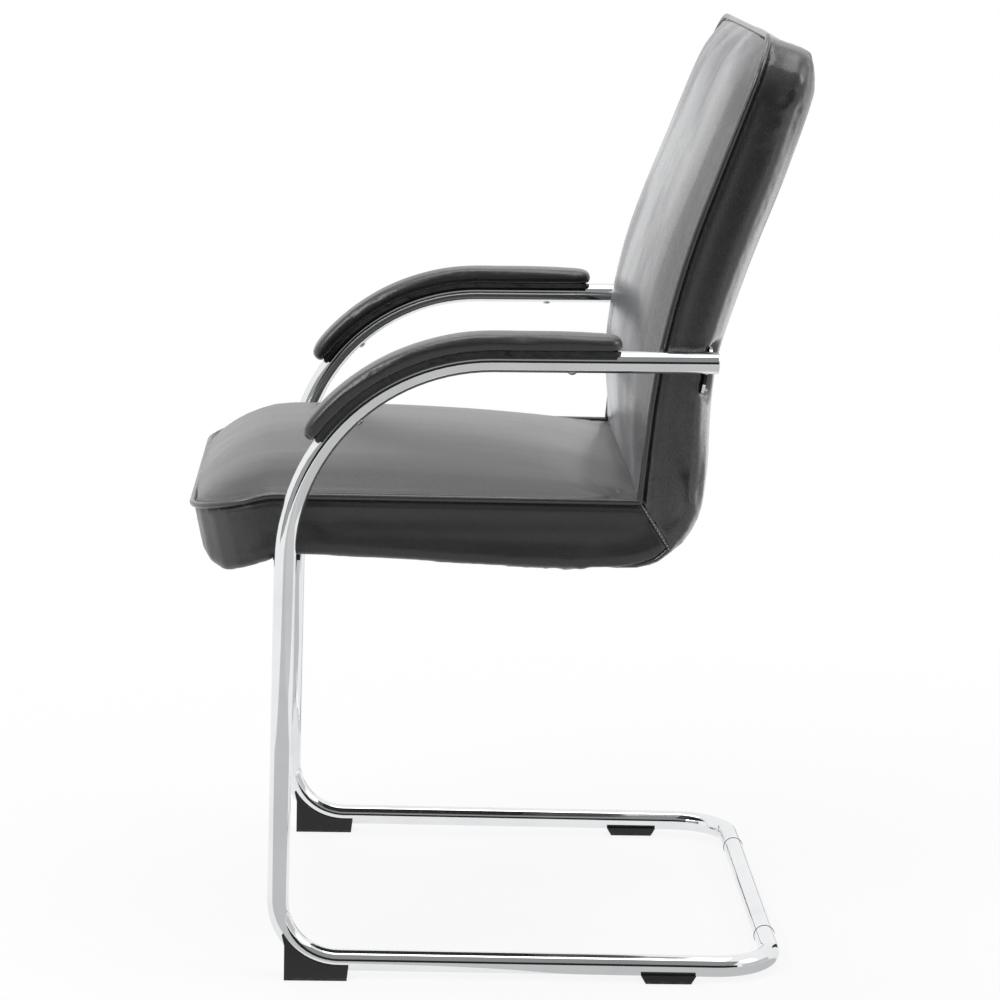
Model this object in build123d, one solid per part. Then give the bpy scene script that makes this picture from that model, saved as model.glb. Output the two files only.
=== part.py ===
"""A cantilever visitor chair: a bent chrome tube frame and an upholstered seat and back.

Sizes are in millimetres and +Z is up. The chair faces -Y, and +X is the sitter's left. It is
drawn with the front feet starting at y = 0, and every piece is moved along Y at the end, so
that the whole chair stands centred on the origin.
"""
from math import ceil, cos, degrees, radians, sin, sqrt
import os

from build123d import *

os.makedirs("parts", exist_ok=True)

# Side frames: one bent tube on each side, described by the corners of its centre line
frame_width = 550.0
tube_diameter = 22.0
tube_wall = 2.0
arm_end = 424.0
arm_rear_height = 643.5
arm_front_height = 639.8
leg_top = -2.2
leg_foot = -7.7
base_front_height = 19.2
base_rear_height = 15.4
rear_bar_place = 506.0
arm_bend_radius = 207.0
base_bend_radius = 63.0
corner_bend_radius = 62.0
joint_inset = 108.0

# Rear joints: spigots inside the tubes, each held by two screws from below
fit_clearance = 0.1
spigot_length = 76.0
spigot_wall = 2.0
joint_screw_diameter = 5.0
joint_screw_inset = 20.0
joint_screw_head = 9.0
joint_screw_dome = 1.5
joint_screw_length = 6.0

# End caps of the arm tubes
cap_thickness = 2.5
cap_rounding = 1.2
cap_plug_length = 14.0

# Front feet and rear glides
foot_width = 26.0
foot_length = 64.2
foot_heel_reach = 1.8
foot_heel_height = 16.0
foot_front_height = 37.0
foot_tip_height = 48.0
foot_tip_reach = 2.6
foot_cheek = 3.8
foot_screw_place = 50.0
glide_width = 25.0
glide_length = 46.7
glide_front = 371.4
glide_flare = 5.0
glide_height = 8.4
foot_screw_diameter = 4.0
foot_screw_head = 8.0
foot_screw_sink = 1.2
foot_screw_head_height = 1.6
foot_screw_length = 9.0

# Arm pads: a plastic base on the tube and an upholstered pad on the base
pad_rear = 328.5
pad_bend_angle = 54.9
pad_width = 46.0
pad_top = 28.5
pad_bottom_width = 33.0
pad_rear_taper = 65.0
pad_front_taper = 28.0
base_strip_width = 34.0
base_strip_bottom = 7.5
base_strip_top = 12.5
base_strip_inset = 4.0
boss_diameter = 12.0
boss_height = 7.0
pad_screw_diameter = 5.0
pad_screw_head = 9.0
pad_screw_dome = 2.2
pad_rear_screw_place = 280.0
pad_front_screw_angle = 42.5

# Seat and back upholstery, described by the line of its piping in the side view
body_width = 518.0
crease_place = 352.5
crease_height = 498.0
seat_bend_place = -22.0
seat_bend_height = 499.0
seat_bend_radius = 80.0
nose_place = -101.0
nose_height = 479.0
nose_corner_radius = 70.0
seat_thickness = 60.0
seat_crown = 33.0
lumbar_place = 368.8
lumbar_height = 683.7
lumbar_radius = 915.0
back_top_place = 470.8
back_top_height = 965.0
back_corner_radius = 54.0
back_thickness = 50.0
back_crown = 23.5
rear_crown = 33.0
least_crown = 0.3
side_draw = 3.0
lower_rounding = 9.0
cover_thickness = 6.0
piping_diameter = 6.0

# Shape along the seat: share of its line from the crease, of its thickness, its crown and
# the rear cover's bulge, which only counts where the rear cover wraps under the seat
seat_shares = [
    (0.0, 1.18, 0.03, 0.14),
    (0.040, 1.235, 0.14, 0.10),
    (0.118, 1.255, 0.42, 0.05),
    (0.250, 1.19, 0.72, 0.0),
    (0.425, 1.12, 0.92, 0.0),
    (0.600, 1.06, 1.0, 0.0),
    (0.757, 1.04, 1.0, 0.0),
    (0.825, 1.09, 0.94, 0.0),
    (0.890, 1.19, 0.80, 0.0),
    (0.955, 1.21, 0.54, 0.0),
    (0.985, 1.06, 0.30, 0.0),
    (0.9975, 0.88, 0.16, 0.0),
    (1.0, 0.64, 0.08, 0.0),
]
cover_front_share = 0.118

# Shape where it turns about the crease: share of the turn, of the back's thickness and of
# the rear bulge
mitre_share = 0.39
fold_shares = [(0.20, 1.34, 0.17), (0.39, 1.25, 0.22), (0.70, 1.21, 0.29)]

# Shape up the back: share of its line, of its thickness, its crown and its rear bulge
back_shares = [
    (0.0, 1.22, 0.04, 0.37),
    (0.066, 1.20, 0.31, 0.44),
    (0.132, 1.13, 0.67, 0.50),
    (0.210, 1.04, 0.96, 0.58),
    (0.325, 0.96, 1.12, 0.68),
    (0.445, 1.0, 1.16, 0.76),
    (0.575, 1.03, 1.05, 0.80),
    (0.706, 1.04, 0.95, 0.82),
    (0.837, 1.01, 0.89, 0.83),
    (0.923, 1.0, 0.76, 0.76),
    (0.951, 1.0, 0.64, 0.57),
    (0.976, 1.0, 0.46, 0.33),
    (0.992, 0.99, 0.27, 0.14),
    (1.0, 0.98, 0.12, 0.04),
]
station_spacing = 24.0

# Shape of a crown across its width: shares of half the width and of the crown
shoulder_shares = (0.62, 0.79)
flank_shares = (0.84, 0.45)

# Shape of an arm pad across its width: shares of half the width and of its height
pad_side_shares = (1.0, 0.38)
pad_lower_side_shares = (0.93, 0.14)
pad_upper_side_shares = (0.90, 0.76)
pad_shoulder_shares = (0.56, 0.94)

# Ends of an arm pad: shares of the taper, of the width and of the height
pad_rear_shares = [
    (0.0, 0.45, 0.45),
    (0.03, 0.68, 0.66),
    (0.1, 0.86, 0.81),
    (0.25, 0.96, 0.89),
    (0.55, 1.0, 0.95),
    (1.0, 1.0, 1.0),
]
pad_front_shares = [
    (1.0, 1.0, 1.0),
    (0.5, 0.98, 0.97),
    (0.22, 0.90, 0.88),
    (0.07, 0.74, 0.74),
    (0.0, 0.52, 0.56),
]
pad_middle_steps = 6

# Plywood shell inside the upholstery
ply_thickness = 12.0
ply_edge = 9.0
ply_front_setback = 60.0
ply_depth = 51.0
ply_back_depth = 35.0
ply_corner_radius = 60.0
ply_top_setback = 44.0

# Support under the seat: a cross tube between the legs with two saddle brackets
cross_tube_height = 420.0
bracket_offset = 170.0
bracket_width = 50.0
bracket_length = 80.0
bracket_steel = 3.0
seat_bolt_spacing = 56.0
seat_bolt_diameter = 8.0
seat_bolt_head = 14.0
seat_bolt_head_height = 5.0
dust_cover_thickness = 2.0
dust_cover_side = 13.0
dust_cover_front = -33.0
dust_cover_rear = 285.0
dust_cover_corner = 20.0

# Brackets that hold the back to the arm tubes
back_bracket_level = 637.0
back_bracket_height = 48.0
back_bracket_reach = 50.0
back_bracket_lap = 2.0
back_bracket_steel = 3.0
back_bracket_rounding = 8.0
back_bracket_margin = 4.0
back_bracket_depth = 46.5
back_bolt_diameter = 6.0
back_bolt_head = 11.0
back_bolt_head_height = 3.3
back_bolt_spacing = 24.0
back_bolt_inset = 30.0

# T-nuts in the plywood
tnut_wall = 1.2
tnut_flange_width = 10.0
tnut_flange_thickness = 1.5
bolt_clearance = 0.25
bolt_protrusion = 3.0

# One overrun for every cut that has to pass right through
overrun = 60.0

side = frame_width / 2
tube_radius = tube_diameter / 2
bore_radius = tube_radius - tube_wall
half_body = body_width / 2
piping_radius = piping_diameter / 2
standing = (Align.CENTER, Align.CENTER, Align.MIN)


def side_point(y, z, x=0.0):
    """A point from its place and height in the side view."""
    return Vector(x, y, z)


def both_sides(shape):
    """The given shape and its mirror image on the other side of the chair."""
    return [shape, mirror(shape, about=Plane.YZ)]


def joined(shapes):
    """Separate solids kept together as one group."""
    return Compound(children=[solid for shape in shapes for solid in shape.solids()])


def without(shape, cutters):
    """The shape less every cutter."""
    for cutter in cutters:
        shape = shape - cutter
    return shape


def pipe(path, radius, wall=0.0):
    """A round bar, or a tube if a wall is given, along a path."""
    section = Circle(radius)
    if wall:
        section = section - Circle(radius - wall)
    return sweep(Plane(origin=path @ 0, z_dir=path % 0) * section, path=path)


def across(plane):
    """Location whose local Z runs along the given plane's local Y."""
    return Plane(origin=plane.origin, x_dir=plane.x_dir, z_dir=plane.y_dir).location


def dome_head(diameter, height):
    """A low domed screw head that hangs below the ground of its own frame."""
    radius = ((diameter / 2) ** 2 + height**2) / (2 * height)
    below = Pos(0, 0, -height) * Cylinder(diameter / 2, height, align=standing)
    return (Pos(0, 0, radius - height) * Sphere(radius)) & below


def tube_screw(diameter, head, head_dome, length):
    """A dome-head screw that goes up into a tube lying along local Y, around its centre."""
    collar = tube_radius - sqrt(tube_radius**2 - (head / 2) ** 2)
    seat = Cylinder(head / 2, collar, align=standing) - Pos(0, 0, tube_radius) * Rot(90, 0, 0) * (
        Cylinder(tube_radius, head)
    )
    screw = dome_head(head, head_dome) + seat + Cylinder(diameter / 2, length, align=standing)
    return Pos(0, 0, -tube_radius) * screw


def t_nut(bolt_diameter, barrel):
    """A flanged nut with its flange on the ground of its own frame and its barrel below."""
    outer = bolt_diameter / 2 + tnut_wall
    body = Pos(0, 0, -barrel) * Cylinder(outer, barrel, align=standing)
    body += Cylinder(outer + tnut_flange_width / 2, tnut_flange_thickness, align=standing)
    return body - Cylinder(bolt_diameter / 2, 2 * (barrel + overrun))


# Side frame path: arm, leg, floor tube and rear corner, with a bend at each corner
frame_corners = [
    side_point(arm_end, arm_rear_height, side),
    side_point(leg_top, arm_front_height, side),
    side_point(leg_foot, base_front_height, side),
    side_point(rear_bar_place, base_rear_height, side),
    side_point(rear_bar_place, base_rear_height, side - joint_inset),
]
frame_path = FilletPolyline(
    *frame_corners, radius=(arm_bend_radius, base_bend_radius, corner_bend_radius)
)
frame_envelopes = both_sides(pipe(frame_path, tube_radius))
seam_x = side - joint_inset
joint_screw_places = [seam_x - joint_screw_inset, seam_x + joint_screw_inset]


def bend_centre(before, corner, after, radius):
    """Centre of the bend that rounds a corner of a path."""
    to_before = (before - corner).normalized()
    to_after = (after - corner).normalized()
    half_angle = radians(to_before.get_angle(to_after) / 2)
    return corner + (to_before + to_after).normalized() * (radius / sin(half_angle))


def height_between(first, second, place):
    """Height of a straight stretch of the side view at a place along it."""
    return first.Z + (second.Z - first.Z) * (place - first.Y) / (second.Y - first.Y)


def floor_tube_height(place):
    """Height of the floor tube's centre."""
    return height_between(frame_corners[2], frame_corners[3], place)


arm_bend_centre = bend_centre(*frame_corners[0:3], arm_bend_radius)
base_bend_centre = bend_centre(*frame_corners[1:4], base_bend_radius)
arm_direction = (frame_corners[0] - frame_corners[1]).normalized()
arm_bend_start = arm_bend_centre.Y
glide_screw_place = glide_front + glide_length / 2


def arm_plane(place):
    """Plane across the straight of the arm tube, with local Y up."""
    height = height_between(frame_corners[0], frame_corners[1], place)
    return Plane(
        origin=side_point(place, height, side), x_dir=(1, 0, 0), z_dir=arm_direction * -1
    )


def bend_plane(angle):
    """Plane across the arm tube in its bend, with local Y away from the bend's centre."""
    outward = arm_plane(arm_end).y_dir.rotate(Axis.X, angle)
    return Plane(
        origin=arm_bend_centre + outward * arm_bend_radius,
        x_dir=(1, 0, 0),
        z_dir=Vector(1, 0, 0).cross(outward),
    )


pad_screw_planes = [arm_plane(pad_rear_screw_place), bend_plane(pad_front_screw_angle)]


# Frame pieces


def foot_screw_hole():
    """Hole for a foot screw, from the floor into the bore of the tube."""
    return Cylinder(foot_screw_diameter / 2, base_rear_height, align=standing)


def joint_screw_hole():
    """Hole for a joint screw, from the floor into the spigot."""
    return Cylinder(joint_screw_diameter / 2, base_rear_height, align=standing)


def side_tube():
    """The bent tube of one side frame, drilled for every screw that enters it."""
    tube = pipe(frame_path, tube_radius, tube_wall)
    for plane in pad_screw_planes:
        tube -= across(plane) * Cylinder(pad_screw_diameter / 2, tube_diameter + boss_height)
    for place in (foot_screw_place, glide_screw_place):
        tube -= Pos(side, place, 0) * foot_screw_hole()
    return tube - Pos(joint_screw_places[1], rear_bar_place, 0) * joint_screw_hole()


def rear_bar(half_length, radius, wall, centre_x=0.0):
    """A piece of tube along the rear bar."""
    start = side_point(rear_bar_place, base_rear_height, centre_x - half_length)
    end = side_point(rear_bar_place, base_rear_height, centre_x + half_length)
    return pipe(Line(start, end), radius, wall)


def rear_cross_tube():
    """The straight tube between the two rear seams."""
    tube = rear_bar(seam_x, tube_radius, tube_wall)
    for x in (-joint_screw_places[0], joint_screw_places[0]):
        tube -= Pos(x, rear_bar_place, 0) * joint_screw_hole()
    return tube


def rear_spigot():
    """The short tube that fits inside both tubes at a rear seam."""
    spigot = rear_bar(spigot_length / 2, bore_radius - fit_clearance, spigot_wall, seam_x)
    for x in joint_screw_places:
        spigot -= Pos(x, rear_bar_place, 0) * joint_screw_hole()
    return spigot


def rear_joint_screws():
    """The two screws of one rear joint."""
    screw = tube_screw(
        joint_screw_diameter, joint_screw_head, joint_screw_dome, joint_screw_length
    )
    return [
        Pos(x, rear_bar_place, base_rear_height) * Rot(0, 0, 90) * screw
        for x in joint_screw_places
    ]


def arm_end_cap():
    """A rounded disc on the end of the arm tube, with a plug inside the bore."""
    disc = Cylinder(tube_radius, cap_thickness, align=standing)
    disc = fillet(disc.edges().sort_by(Axis.Z)[-1], cap_rounding)
    plug = Pos(0, 0, -cap_plug_length) * (
        Cylinder(bore_radius - fit_clearance, cap_plug_length, align=standing)
    )
    return Plane(origin=frame_corners[0], z_dir=arm_direction) * (disc + plug)


def side_block(outline, width):
    """A block with the given side outline, centred on the side tube."""
    face = make_face(Polyline(*[side_point(y, z, side) for y, z in outline], close=True))
    return extrude(face, amount=width / 2, dir=(1, 0, 0), both=True)


def screw_well(ground):
    """The countersunk well of a foot screw, and the hole above it."""
    well = Cylinder(foot_screw_head / 2 + fit_clearance, ground, align=standing)
    return well + foot_screw_hole()


def foot_screw():
    """A flat-head screw that stands in a well of a foot."""
    head = Cylinder(foot_screw_head / 2, foot_screw_head_height, align=standing)
    return Pos(0, 0, foot_screw_sink) * (
        head + Cylinder(foot_screw_diameter / 2, foot_screw_length, align=standing)
    )


screw_well_height = foot_screw_sink + foot_screw_head_height


def front_foot():
    """A wedge saddle under the lower bend, whose cheeks follow the tube round it."""
    rear = foot_length + foot_heel_reach
    top = base_bend_centre.Z
    outline = [
        (0, 0),
        (foot_length, 0),
        (rear, foot_heel_height),
        (rear, top),
        (-foot_tip_reach, top),
        (-foot_tip_reach, foot_tip_height),
        (0, foot_front_height),
    ]
    foot = side_block(outline, foot_width)
    cheek_radius = base_bend_radius + foot_cheek
    inside_bend = Pos(side, base_bend_centre.Y, base_bend_centre.Z) * Rot(0, 90, 0) * (
        Cylinder(cheek_radius, overrun)
    )
    cheek_height = floor_tube_height(rear) - foot_cheek
    above_tube = Pos(side, base_bend_centre.Y, cheek_height) * (
        Box(overrun, rear, top, align=(Align.CENTER, Align.MIN, Align.MIN))
    )
    above_tip = Pos(side, base_bend_centre.Y, foot_tip_height) * (
        Box(overrun, 3 * rear, top, align=standing)
    )
    foot = without(foot, [inside_bend, above_tube, above_tip, frame_envelopes[0]])
    return foot - Pos(side, foot_screw_place, 0) * screw_well(screw_well_height)


def rear_glide():
    """A low saddle under the floor tube."""
    rear = glide_front + glide_length
    outline = [
        (glide_front, 0),
        (rear, 0),
        (rear + glide_flare, glide_height),
        (glide_front - glide_flare, glide_height),
    ]
    glide = side_block(outline, glide_width) - frame_envelopes[0]
    return glide - Pos(side, glide_screw_place, 0) * screw_well(screw_well_height)


def seat_cross_tube():
    """The tube under the seat, notched to fit the two legs."""
    start = side_point(cross_tube_place, cross_tube_height, -side)
    end = side_point(cross_tube_place, cross_tube_height, side)
    return without(pipe(Line(start, end), tube_radius, tube_wall), frame_envelopes)


leg_lean = (frame_corners[1].Y - frame_corners[2].Y) / (frame_corners[1].Z - frame_corners[2].Z)
cross_tube_place = frame_corners[2].Y + leg_lean * (cross_tube_height - frame_corners[2].Z)


# Arm pads
pad_straight = pad_rear - arm_bend_start
pad_length = pad_straight + arm_bend_radius * radians(pad_bend_angle)


def pad_plane(travel):
    """Plane across the arm tube, at a distance forward from the pad's rear tip."""
    if travel < pad_straight:
        return arm_plane(pad_rear - travel)
    return bend_plane(degrees((travel - pad_straight) / arm_bend_radius))


def pad_section(travel, width_share, height_share):
    """Cross-section of the upholstered pad: flat below, round at its sides and over its top."""
    half_width = pad_width / 2 * width_share
    half_bottom = pad_bottom_width / 2 * width_share
    height = (pad_top - base_strip_top) * height_share

    def corner(shares, hand):
        return (hand * half_width * shares[0], base_strip_top + height * shares[1])

    outline = Line((-half_bottom, base_strip_top), (half_bottom, base_strip_top))
    for hand in (1, -1):
        outline += ThreePointArc(
            (hand * half_bottom, base_strip_top),
            corner(pad_lower_side_shares, hand),
            corner(pad_side_shares, hand),
        )
        outline += ThreePointArc(
            corner(pad_side_shares, hand),
            corner(pad_upper_side_shares, hand),
            corner(pad_shoulder_shares, hand),
        )
    outline += ThreePointArc(
        corner(pad_shoulder_shares, 1),
        (0, base_strip_top + height),
        corner(pad_shoulder_shares, -1),
    )
    return pad_plane(travel) * make_face(outline)


def arm_pad_cushion(fittings):
    """The upholstered pad, tapered at both ends, with pockets for bosses and screws."""
    middle = pad_length - pad_rear_taper - pad_front_taper
    stations = [(pad_rear_taper * at, wide, high) for at, wide, high in pad_rear_shares]
    for step in range(1, pad_middle_steps):
        stations.append((pad_rear_taper + middle * step / pad_middle_steps, 1, 1))
    for at, wide, high in pad_front_shares:
        stations.append((pad_length - pad_front_taper * at, wide, high))
    return loft([pad_section(*station) for station in stations]) - fittings


def arm_pad_base():
    """The plastic strip between pad and tube, with a boss round each screw."""
    rear = pad_plane(base_strip_inset)
    front_angle = degrees((pad_length - base_strip_inset - pad_straight) / arm_bend_radius)
    bend_start = bend_plane(0).origin
    straight = Line(rear.origin, bend_start)
    bend = ThreePointArc(
        bend_start, bend_plane(front_angle / 2).origin, bend_plane(front_angle).origin
    )
    middle = (base_strip_top + base_strip_bottom) / 2
    strip = Pos(0, middle) * Rectangle(base_strip_width, base_strip_top - base_strip_bottom)
    base = sweep(rear * strip, path=Wire([straight.edge(), bend.edge()]))
    for plane in pad_screw_planes:
        boss = Cylinder(boss_diameter / 2, base_strip_top + boss_height, align=standing)
        base += across(plane) * boss
    base -= frame_envelopes[0]
    for plane in pad_screw_planes:
        base -= across(plane) * Cylinder(pad_screw_diameter / 2, tube_diameter + overrun)
    return base


def arm_pad_screws():
    """Dome-head screws that come up through the arm tube into the bosses of the base."""
    length = tube_radius + base_strip_top + boss_height
    screw = tube_screw(pad_screw_diameter, pad_screw_head, pad_screw_dome, length)
    return [across(plane) * screw for plane in pad_screw_planes]


# Upholstery lines in the side view, from the crease to the nose and from the crease up
crease = side_point(crease_place, crease_height)
seat_bend = side_point(seat_bend_place, seat_bend_height)
nose = side_point(nose_place, nose_height)
lumbar = side_point(lumbar_place, lumbar_height)
back_top = side_point(back_top_place, back_top_height)
seat_line = FilletPolyline(crease, seat_bend, nose, radius=seat_bend_radius)
back_line = FilletPolyline(crease, lumbar, back_top, radius=lumbar_radius)


def upholstery_plane(point, angle):
    """Plane across the upholstery, with local Y out of the seat's top or the back's front."""
    turn = radians(angle)
    return Plane(origin=point, x_dir=(1, 0, 0), z_dir=(0, -cos(turn), -sin(turn)))


def line_plane(line, share, heading):
    """Plane across the upholstery at a share of its line, which runs forward or up."""
    tangent = (line % share) * heading
    angle = Vector(0, 1, 0).get_signed_angle(tangent, Vector(1, 0, 0))
    return upholstery_plane(line @ share, angle)


fold_angle = Vector(0, 1, 0).get_signed_angle(back_line % 0, Vector(1, 0, 0))


def rounded_half_width(distance, radius):
    """Half the body's width near a rounded end, at a distance from that end."""
    if distance >= radius:
        return half_body
    return half_body - radius + sqrt(radius**2 - (radius - distance) ** 2)


def crown_arcs(half_width, base, crown):
    """Three arcs over the width, from one edge over the crown to the other."""

    def place(shares, hand):
        return (hand * half_width * shares[0], base + crown * shares[1])

    return [
        ThreePointArc(
            (half_width, base), place(flank_shares, 1), place(shoulder_shares, 1)
        ),
        ThreePointArc(
            place(shoulder_shares, 1), (0, base + crown), place(shoulder_shares, -1)
        ),
        ThreePointArc(
            place(shoulder_shares, -1), place(flank_shares, -1), (-half_width, base)
        ),
    ]


def cushion_section(plane, half_width, depth, crown):
    """Cross-section of a cushion: flat behind, drawn-in sides and a crown over its front."""
    rounding = min(lower_rounding, depth / 3)
    curve = rounding * (1 - sqrt(1 / 2))
    floor = half_width - rounding
    draw = min(side_draw, depth / 10)
    outline = crown_arcs(half_width, 0, crown)
    outline.append(Line((-floor, -depth), (floor, -depth)))
    for hand in (1, -1):
        outline.append(
            ThreePointArc(
                (hand * half_width, 0),
                (hand * (half_width - draw), (rounding - depth) / 2),
                (hand * half_width, rounding - depth),
            )
        )
        outline.append(
            ThreePointArc(
                (hand * half_width, rounding - depth),
                (hand * (half_width - curve), curve - depth),
                (hand * floor, -depth),
            )
        )
    return plane * make_face(outline)


def cover_section(plane, half_width, depth, bulge):
    """Cross-section of the rear cover: a thin layer that bulges away from the cushion."""
    inner = cover_thickness - depth
    curve = cover_thickness * (1 - sqrt(1 / 2))
    floor = half_width - cover_thickness
    outline = [Line((-half_width, inner), (half_width, inner)), *crown_arcs(floor, -depth, -bulge)]
    for hand in (1, -1):
        outline.append(
            ThreePointArc(
                (hand * half_width, inner),
                (hand * (half_width - curve), curve - depth),
                (hand * floor, -depth),
            )
        )
    return plane * make_face(outline)


def slope(rows, index, column):
    """Slope of a table's column at a row, flat at a peak so that nothing overshoots."""
    sides = []
    for first, last in zip(rows[max(index - 1, 0) : index + 1], rows[max(index, 1) : index + 2]):
        sides.append((last[column] - first[column]) / (last[0] - first[0]))
    if min(sides) * max(sides) <= 0:
        return 0
    return len(sides) / sum(1 / side for side in sides)


def eased_rows(rows, length):
    """A table's rows with smooth rows between them, so that no step is over the spacing."""
    eased = []
    for index, (first, last) in enumerate(zip(rows, rows[1:])):
        run = last[0] - first[0]
        steps = ceil(run * length / station_spacing)
        for step in range(steps):
            at = step / steps
            row = [first[0] + run * at]
            for column in range(1, len(first)):
                leaving = slope(rows, index, column) * run
                arriving = slope(rows, index + 1, column) * run
                change = last[column] - first[column]
                bend = (3 * change - 2 * leaving - arriving) * at**2
                twist = (leaving + arriving - 2 * change) * at**3
                row.append(first[column] + leaving * at + bend + twist)
            eased.append(row)
    return eased + [rows[-1]]


def station(plane, half_width, depth, crown, bulge):
    """One cross-section place of the upholstery."""
    return plane, half_width, depth, max(least_crown, crown), max(least_crown, bulge)


def seat_stations(from_share, to_share):
    """Stations of the seat from the crease forward, between two shares of its line."""
    stations = []
    for share, depth_share, crown_share, bulge_share in eased_rows(seat_shares, seat_line.length):
        if from_share <= share <= to_share:
            depth = seat_thickness * depth_share
            width = rounded_half_width(seat_line.length * (1 - share), nose_corner_radius)
            plane = line_plane(seat_line, share, -1)
            crown = seat_crown * crown_share
            stations.append(station(plane, width, depth, crown, rear_crown * bulge_share))
    return stations


def fold_stations(from_share, to_share):
    """Stations that turn about the crease, between two shares of the turn."""
    seat_end = seat_shares[0]
    rows = [(0.0, seat_thickness / back_thickness * seat_end[1], seat_end[3])]
    rows += fold_shares + [(1.0, back_shares[0][1], back_shares[0][3])]
    turn_length = radians(fold_angle) * seat_thickness
    stations = []
    for share, depth_share, bulge_share in eased_rows(rows, turn_length):
        if from_share <= share <= to_share and 0 < share < 1:
            plane = upholstery_plane(crease, fold_angle * share)
            depth = back_thickness * depth_share
            stations.append(station(plane, half_body, depth, 0, rear_crown * bulge_share))
    return stations


def back_stations():
    """Stations of the back from the crease up."""
    stations = []
    for share, depth_share, crown_share, bulge_share in eased_rows(back_shares, back_line.length):
        plane = line_plane(back_line, share, 1)
        width = rounded_half_width(back_line.length * (1 - share), back_corner_radius)
        depth = back_thickness * depth_share
        crown = back_crown * crown_share
        stations.append(station(plane, width, depth, crown, rear_crown * bulge_share))
    return stations


def cushion_sections(stations, inset=0.0):
    """Cross-sections of a cushion, whose rear face may be drawn in by an inset."""
    return [
        cushion_section(plane, width, depth - inset, crown)
        for plane, width, depth, crown, bulge in stations
    ]


# The cushions reach halfway into the rear cover's layer, and the cover is then cut from them
half_cover = cover_thickness / 2
under_cover = seat_stations(0, cover_front_share)
ahead_of_cover = seat_stations(cover_front_share, 1)[1:]


def seat_body():
    """The seat cushion from the mitre at the crease to its nose."""
    covered = list(reversed(fold_stations(0, mitre_share))) + under_cover
    sections = cushion_sections(covered, half_cover) + cushion_sections(ahead_of_cover)
    return loft(sections, ruled=True)


def back_body():
    """The back cushion from the mitre at the crease to its top edge."""
    stations = fold_stations(mitre_share, 1) + back_stations()
    return loft(cushion_sections(stations, half_cover), ruled=True)


def rear_cover_body():
    """The cover behind the back, which bulges and wraps under the rear of the seat."""
    stations = list(reversed(under_cover)) + fold_stations(0, 1) + back_stations()
    sections = [
        cover_section(plane, width, depth, bulge)
        for plane, width, depth, crown, bulge in stations
    ]
    return loft(sections, ruled=True)


mitre_plane = upholstery_plane(crease, fold_angle * mitre_share)


def piping_bar(corners, radii):
    """A cord round three sides of a cushion, which starts a little beyond the crease."""
    ahead = (corners[1] - corners[0]).normalized()
    start = corners[0] - ahead * piping_diameter
    half = [side_point(point.Y, point.Z, half_body) for point in [start, *corners[1:]]]
    other = [Vector(-point.X, point.Y, point.Z) for point in reversed(half)]
    path = FilletPolyline(*half, *other, radius=(*radii, *reversed(radii)))
    return pipe(path, piping_radius)


seat_piping_bar = piping_bar([crease, seat_bend, nose], (seat_bend_radius, nose_corner_radius))
back_piping_bar = piping_bar([crease, lumbar, back_top], (lumbar_radius, back_corner_radius))


# Plywood shell, and what is bolted to it
ply_seat_height = crease_height - ply_depth
ply_seat_top = ply_seat_height + ply_thickness / 2
ply_seat_bottom = ply_seat_height - ply_thickness / 2


ply_width = body_width - 2 * ply_edge
seat_bolt_places = [
    (x, cross_tube_place + y)
    for x in (-bracket_offset, bracket_offset)
    for y in (-seat_bolt_spacing / 2, seat_bolt_spacing / 2)
]
bracket_top = ply_seat_bottom - dust_cover_thickness
seat_bolt_grip = bracket_steel + dust_cover_thickness + ply_thickness


def behind_back(share, depth):
    """A point at a depth behind a share of the back's line."""
    plane = line_plane(back_line, share, 1)
    return plane.origin - plane.y_dir * depth


def meeting(first, first_heading, second, second_heading):
    """Where two lines of the side view cross, each given by a point and a heading."""
    apart = second - first
    cross = first_heading.Y * second_heading.Z - first_heading.Z * second_heading.Y
    travel = (apart.Y * second_heading.Z - apart.Z * second_heading.Y) / cross
    return first + first_heading * travel


def ply_path():
    """Middle layer of the plywood in the side view, from the front of the seat up."""
    front = side_point(nose_place + ply_front_setback, ply_seat_height)
    top = behind_back(1 - ply_top_setback / back_line.length, ply_back_depth)
    lower = behind_back(0, ply_back_depth)
    corner = meeting(front, Vector(0, 1, 0), lower, back_line % 0)
    bend = meeting(lower, back_line % 0, top, back_line % 1)
    bend_radius = lumbar_radius - ply_back_depth
    return FilletPolyline(front, corner, bend, top, radius=(ply_corner_radius, bend_radius))


def back_bracket_plane():
    """Plane on the flat behind the back at the brackets' level, with local Z to the rear."""
    share = (back_bracket_level - crease_height) / (back_top_height - crease_height)
    plane = line_plane(back_line, share, 1)
    origin = plane.origin - plane.y_dir * back_bracket_depth
    return Plane(origin=origin, x_dir=(-1, 0, 0), z_dir=plane.y_dir * -1)


bracket_plane = back_bracket_plane()
back_bracket_inner = side - tube_radius + back_bracket_lap - back_bracket_reach
back_bolt_x = side - tube_radius - back_bolt_inset
back_bolt_places = [
    (x, y)
    for x in (-back_bolt_x, back_bolt_x)
    for y in (-back_bolt_spacing / 2, back_bolt_spacing / 2)
]
back_bolt_grip = back_bracket_depth - ply_back_depth + ply_thickness / 2


def seat_t_nuts():
    """T-nuts on the plywood of the seat, one over each bolt."""
    nut = t_nut(seat_bolt_diameter, ply_thickness)
    return [Pos(x, y, ply_seat_top) * nut for x, y in seat_bolt_places]


def back_t_nuts():
    """T-nuts on the front of the plywood of the back, one before each bolt."""
    nut = Pos(0, 0, -back_bolt_grip) * Rot(180, 0, 0) * t_nut(back_bolt_diameter, ply_thickness)
    return [bracket_plane * Pos(x, y, 0) * nut for x, y in back_bolt_places]


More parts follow.
